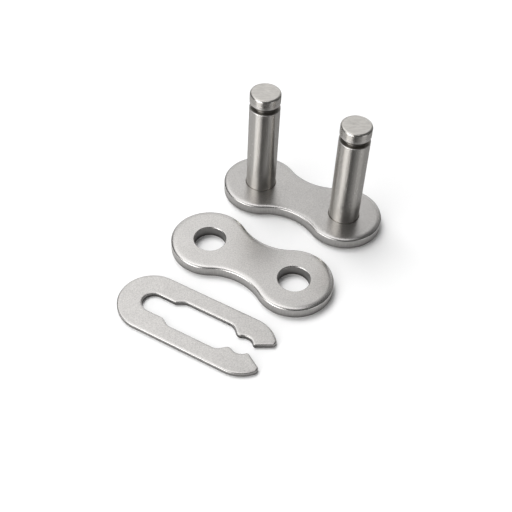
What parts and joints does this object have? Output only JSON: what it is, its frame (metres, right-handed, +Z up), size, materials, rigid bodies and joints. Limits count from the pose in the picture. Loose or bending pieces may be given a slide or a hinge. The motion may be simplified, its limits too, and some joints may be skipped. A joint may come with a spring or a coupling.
{
  "type": "roller chain connecting link",
  "caption": "Roller chain connecting link taken apart: a pin plate with two upright pins, a loose cover plate and a spring clip.",
  "frame": {"origin": "middle of the laid-out set's bounding box, on the surface that it lies on", "axes": "+Z up along both pins, +X along the pin plate from pin_left to pin_right, +Y from the clip towards the pin plate"},
  "size_m": [0.0302, 0.0436, 0.0214],
  "materials": {
    "plate_steel": "tumbled satin stainless steel, fine grain",
    "pin_steel": "ground satin stainless steel, smoother than the plates",
    "clip_steel": "tumbled satin stainless spring steel, fine grain"
  },
  "bodies": {
    "root": {"pin_plate": "plate_steel", "pin_left": "pin_steel", "pin_right": "pin_steel", "cover_plate": "plate_steel", "spring_clip": "clip_steel"}
  },
  "joints": []
}
